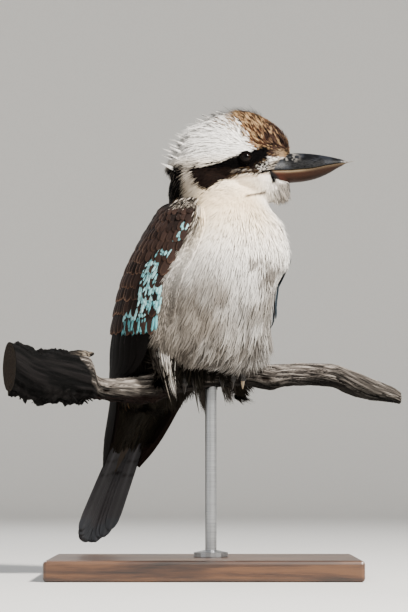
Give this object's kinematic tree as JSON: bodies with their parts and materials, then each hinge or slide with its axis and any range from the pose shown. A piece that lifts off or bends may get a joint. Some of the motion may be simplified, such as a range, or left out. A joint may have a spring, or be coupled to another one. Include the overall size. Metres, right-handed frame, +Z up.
{
  "type": "laughing kookaburra on a perch",
  "caption": "Life-size still model of a laughing kookaburra sitting on a cut length of dead branch, held by a flat base and one rod.",
  "frame": {"origin": "middle of the stand base's underside, on the surface that it stands on", "axes": "+Z up, +X along the branch's run towards its thin end, which is also about the way the bill points, -Y towards the viewer"},
  "size_m": [0.3514, 0.1983, 0.4091],
  "materials": {
    "plumage": "soft feathers, cream and pale grey with a brown crown, eye stripe and nape",
    "wing_plumage": "firm vaned feathers, dark brown with pale turquoise coverts",
    "tail_plumage": "firm vaned feathers, rufous barred with black above, whitish below",
    "eye": "wet gloss, dark brown",
    "bill_black": "satin horn, black",
    "bill_horn": "satin horn, dusky at the base to pinkish horn",
    "foot_skin": "scaly skin, olive grey, with dark claws",
    "dead_wood": "weathered grey wood, dark rough bark at the thick end",
    "stand_wood": "satin dark stained wood",
    "stand_steel": "brushed"
  },
  "bodies": {
    "root": {"head": "plumage", "neck": "plumage", "torso": "plumage", "thigh_left": "plumage", "thigh_right": "plumage", "wing_left": "wing_plumage", "wing_right": "wing_plumage", "tail": "tail_plumage", "eye_left": "eye", "eye_right": "eye", "bill_upper": "bill_black", "bill_lower": "bill_horn", "foot_left": "foot_skin", "foot_right": "foot_skin", "perch_branch": "dead_wood", "stand_base": "stand_wood", "stand_rod": "stand_steel"}
  },
  "joints": []
}
